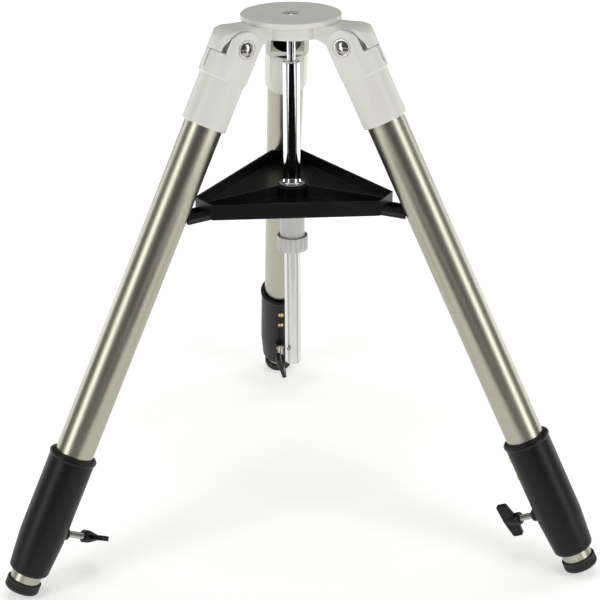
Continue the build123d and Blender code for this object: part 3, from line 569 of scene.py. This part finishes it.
groove_depth = 0.8 * mm
groove_width = 1.2 * mm
groove_slope = 0.3 * mm
groove_places = (4.3 * mm, 7.3 * mm)
sole = 5.0 * mm
sole_round = 3.5 * mm
for leg in legs:
    low, high = span(f"rubber_foot_{leg}", places[leg])
    bore = span(f"lower_tube_{leg}", places[leg])[1].x + 0.02 * mm
    outer = high.x
    profile = [(bore, low.z), (outer, low.z)]
    for groove in groove_places:
        near = low.z + groove - groove_width / 2
        far = low.z + groove + groove_width / 2
        profile += [(outer, near), (outer - groove_depth, near + groove_slope),
                    (outer - groove_depth, far - groove_slope), (outer, far)]
    for step in range(7):
        bend = math.pi / 2 * step / 6
        profile.append((outer - sole_round * (1 - math.cos(bend)),
                        high.z - sole_round * (1 - math.sin(bend))))
    profile += [(0, high.z), (0, high.z - sole), (bore, high.z - sole)]
    foot = put(turned(profile, 0.3 * mm, steps=96, segments=2), places[leg])
    piece(f"tripod_foot_{leg}", foot, rubber, f"lower_leg_{leg}", [f"rubber_foot_{leg}"])
    coat(rubber, f"foot_plug_{leg}")

# ---------------------------------------------------------------- centre shaft
# A 3/8 inch stud hangs in the head on a spring clip, runs down inside a chromed sleeve with a flared foot
# and screws into a clear-anodised fluted bar. A small screw in a flute stops the tray from dropping off.
chrome, tree, shader = material("polished_chrome_plate", {"Metallic": 1.0, "Base Color": linear("E2E4E6")})
where = add(tree, "TexCoord")
swirl_scale = add(tree, "Mapping", {"Scale": (1.0, 1.0, 0.08)}, {"Vector": where.outputs["Object"]})
swirl = add(tree, "TexNoise", {"Scale": per_mm(1.2), "Detail": 3.0},
            {"Vector": swirl_scale.outputs["Vector"]})
gloss = add(tree, "MapRange", {"To Min": 0.03, "To Max": 0.09}, {"Value": swirl.outputs["Fac"]})
tree.links.new(gloss.outputs["Result"], shader.inputs["Roughness"])

satin_anodised, tree, shader = material("clear_anodised_extrusion", {"Metallic": 1.0})
where = add(tree, "TexCoord")
die_scale = add(tree, "Mapping", {"Scale": (per_mm(0.7), per_mm(0.7), per_mm(70))},
                {"Vector": where.outputs["Object"]})
die_lines = add(tree, "TexNoise", {"Scale": 1.0, "Detail": 3.0}, {"Vector": die_scale.outputs["Vector"]})
vary(tree, shader, die_lines, "D6D7D6", "E6E7E6")
gloss = add(tree, "MapRange", {"To Min": 0.3, "To Max": 0.42}, {"Value": die_lines.outputs["Fac"]})
bump = add(tree, "Bump", {"Strength": 0.15, "Distance": 0.02 * mm}, {"Height": die_lines.outputs["Fac"]})
tree.links.new(gloss.outputs["Result"], shader.inputs["Roughness"])
tree.links.new(bump.outputs["Normal"], shader.inputs["Normal"])

stud_low, stud_high = span("shaft_stud")
shaft_r = stud_high.x
top_thread = 14.0 * mm
inch_pitch = 25.4 / 16 * mm
inch_depth = 0.8 * mm
undercut = 3 * mm
thread_start = stud_high.z - top_thread
neck_r = shaft_r - inch_depth
top_turns = threaded(shaft_r, thread_start, stud_high.z, inch_pitch, inch_depth, 48)
shank = turned([(0, stud_low.z), (shaft_r, stud_low.z), (shaft_r, thread_start - undercut),
                (neck_r, thread_start - undercut + 0.1 * mm), (neck_r, thread_start + 0.1 * mm),
                (0, thread_start + 0.1 * mm)],
               0.15 * mm, steps=64)
keep_flats(piece("mount_stud", join([shank, top_turns]), chrome, "shaft", ["shaft_stud"]))
coat(zinc_plate, "retaining_clip", "stop_screw")

sleeve_low, sleeve_high = span("shaft_sleeve")
sleeve_r = 10.0 * mm
sleeve_chamfer = 1.2 * mm
flare_r = sleeve_high.x
flare_height = 7.0 * mm
flare_rim = 1.0 * mm
flare = [(flare_r, sleeve_low.z + flare_rim)]
for step in range(1, 9):
    bend = math.pi / 2 * step / 8
    flare.append((sleeve_r + (flare_r - sleeve_r) * (1 - math.sin(bend)),
                  sleeve_low.z + flare_rim + flare_height * (1 - math.cos(bend))))
sleeve = turned([(shaft_r, sleeve_low.z), (flare_r, sleeve_low.z)] + flare
                + [(sleeve_r, sleeve_high.z - sleeve_chamfer), (sleeve_r - sleeve_chamfer, sleeve_high.z),
                   (shaft_r, sleeve_high.z)],
                0.25 * mm, steps=128)
keep_flats(piece("chromed_sleeve", sleeve, chrome, "shaft", ["shaft_sleeve"]))

bar = softened("fluted_bar", 0.25 * mm, 2)
keep_flats(piece("fluted_shaft_bar", bar, satin_anodised, "shaft", ["fluted_bar"]))

# ---------------------------------------------------------------- tray
# A black ABS moulding: a triangle with cut corners, an upstand all round with a bead near its foot, three
# ribs from the hub to the corners, and an ear at each corner that reaches the leg tube.
black_abs, tree, shader = material("black_abs_moulding", {"IOR": 1.54, "Specular IOR Level": 0.25})
where = add(tree, "TexCoord")
stipple = add(tree, "TexNoise", {"Scale": per_mm(0.9), "Detail": 2.0}, {"Vector": where.outputs["Object"]})
flow = add(tree, "TexNoise", {"Scale": per_mm(40), "Detail": 3.0}, {"Vector": where.outputs["Object"]})
vary(tree, shader, flow, "08090A", "0D0E0F")
gloss = add(tree, "MapRange", {"To Min": 0.28, "To Max": 0.4}, {"Value": flow.outputs["Fac"]})
bump = add(tree, "Bump", {"Strength": 0.25, "Distance": 0.03 * mm}, {"Height": stipple.outputs["Fac"]})
tree.links.new(gloss.outputs["Result"], shader.inputs["Roughness"])
tree.links.new(bump.outputs["Normal"], shader.inputs["Normal"])

tray = softened("accessory_tray", 0.6 * mm)
keep_flats(piece("accessory_tray_moulding", tray, black_abs, "tray",
                 ["accessory_tray"]))

# ---------------------------------------------------------------- tray hub and lock ring
# The tray sits on a light grey moulded hub with a serrated collar, held by a spring ring. The open-topped
# lock ring screws up its neck and squeezes it on the bar.
grey_nylon, tree, shader = material("light_grey_moulding", {"IOR": 1.5})
where = add(tree, "TexCoord")
turn_scale = add(tree, "Mapping", {"Scale": (per_mm(30), per_mm(30), per_mm(1.2))},
                 {"Vector": where.outputs["Object"]})
turning = add(tree, "TexNoise", {"Scale": 1.0, "Detail": 2.0}, {"Vector": turn_scale.outputs["Vector"]})
vary(tree, shader, turning, "C9C9C6", "D8D8D5")
gloss = add(tree, "MapRange", {"To Min": 0.34, "To Max": 0.46}, {"Value": turning.outputs["Fac"]})
bump = add(tree, "Bump", {"Strength": 0.3, "Distance": 0.05 * mm}, {"Height": turning.outputs["Fac"]})
tree.links.new(gloss.outputs["Result"], shader.inputs["Roughness"])
tree.links.new(bump.outputs["Normal"], shader.inputs["Normal"])

hub_piece = softened("tray_hub", 0.25 * mm, 2)
keep_flats(piece("serrated_tray_hub", hub_piece, grey_nylon, "tray", ["tray_hub"]))
ring = softened("lock_ring", 0.3 * mm, 2)
keep_flats(piece("knurled_lock_ring", ring, grey_nylon, "lock_ring", ["lock_ring"]))
coat(black_oxide, "hub_snap_ring")
